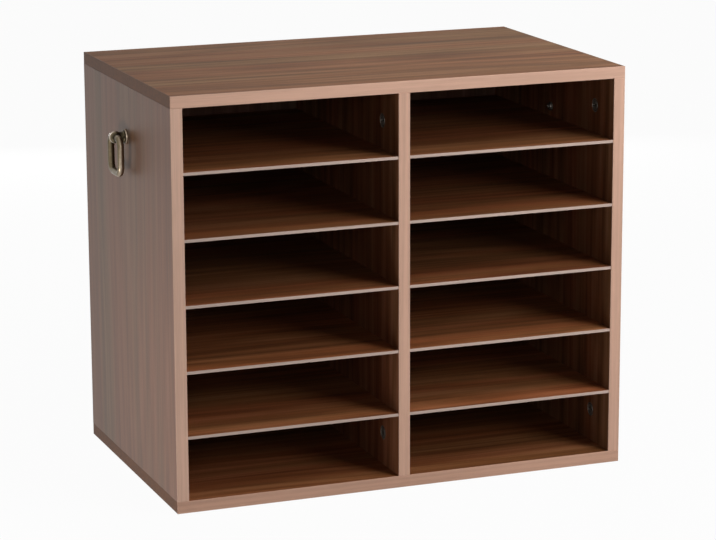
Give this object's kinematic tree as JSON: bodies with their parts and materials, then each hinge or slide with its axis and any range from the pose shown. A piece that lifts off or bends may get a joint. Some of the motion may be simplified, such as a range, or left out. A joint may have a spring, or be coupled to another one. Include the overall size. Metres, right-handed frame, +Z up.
{
  "type": "pigeonhole mail sorter",
  "caption": "Tabletop walnut-finish mail sorter, open at the front, with columns of letter compartments on thin shelves and a hanging ring handle on each side.",
  "frame": {"origin": "middle of the cabinet's underside", "axes": "+Z up, the open front faces -Y, +X towards the right side seen from the front"},
  "size_m": [0.5146, 0.3, 0.415],
  "materials": {
    "walnut_board": "walnut-look wood-grain foil on fibreboard, satin",
    "shelf_board": "thin fibreboard with walnut-look face and pale front edge, satin",
    "back_board": "thin fibreboard with walnut-look face, satin",
    "edge_strip": "pale walnut-look edge strip, satin",
    "antique_brass": "antique brass, darkened in the recesses",
    "zinc": "die-cast zinc, dull",
    "steel": "plated steel",
    "beech": "bare beech"
  },
  "bodies": {
    "cabinet": {"back_panel": "back_board", "back_panel_nails": "steel", "bottom_cam_bolts": "steel", "bottom_dowels": "beech", "bottom_front_strip": "edge_strip", "bottom_left_end_strip": "edge_strip", "bottom_panel": "walnut_board", "bottom_right_end_strip": "edge_strip", "centre_divider": "walnut_board", "centre_divider_cam_locks": "zinc", "divider_front_strip": "edge_strip", "left_front_strip": "edge_strip", "left_handle_post": "antique_brass", "left_handle_rosette": "antique_brass", "left_handle_screw": "steel", "left_handle_washer": "steel", "left_shelf_1": "shelf_board", "left_shelf_2": "shelf_board", "left_shelf_3": "shelf_board", "left_shelf_4": "shelf_board", "left_shelf_5": "shelf_board", "left_side_cam_locks": "zinc", "left_side_panel": "walnut_board", "right_front_strip": "edge_strip", "right_handle_post": "antique_brass", "right_handle_rosette": "antique_brass", "right_handle_screw": "steel", "right_handle_washer": "steel", "right_shelf_1": "shelf_board", "right_shelf_2": "shelf_board", "right_shelf_3": "shelf_board", "right_shelf_4": "shelf_board", "right_shelf_5": "shelf_board", "right_side_cam_locks": "zinc", "right_side_panel": "walnut_board", "top_cam_bolts": "steel", "top_dowels": "beech", "top_front_strip": "edge_strip", "top_left_end_strip": "edge_strip", "top_panel": "walnut_board", "top_right_end_strip": "edge_strip"},
    "left_ring": {"left_handle_ring": "antique_brass"},
    "right_ring": {"right_handle_ring": "antique_brass"}
  },
  "joints": [
    {"name": "left_ring_swing", "type": "hinge", "parent": "cabinet", "child": "left_ring", "pos_m": [-0.251, 0, 0.35103], "axis": [0, 1, 0], "range_deg": [-11, 191]},
    {"name": "right_ring_swing", "type": "hinge", "parent": "cabinet", "child": "right_ring", "pos_m": [0.251, 0, 0.35103], "axis": [0, -1, 0], "range_deg": [-11, 191]}
  ]
}
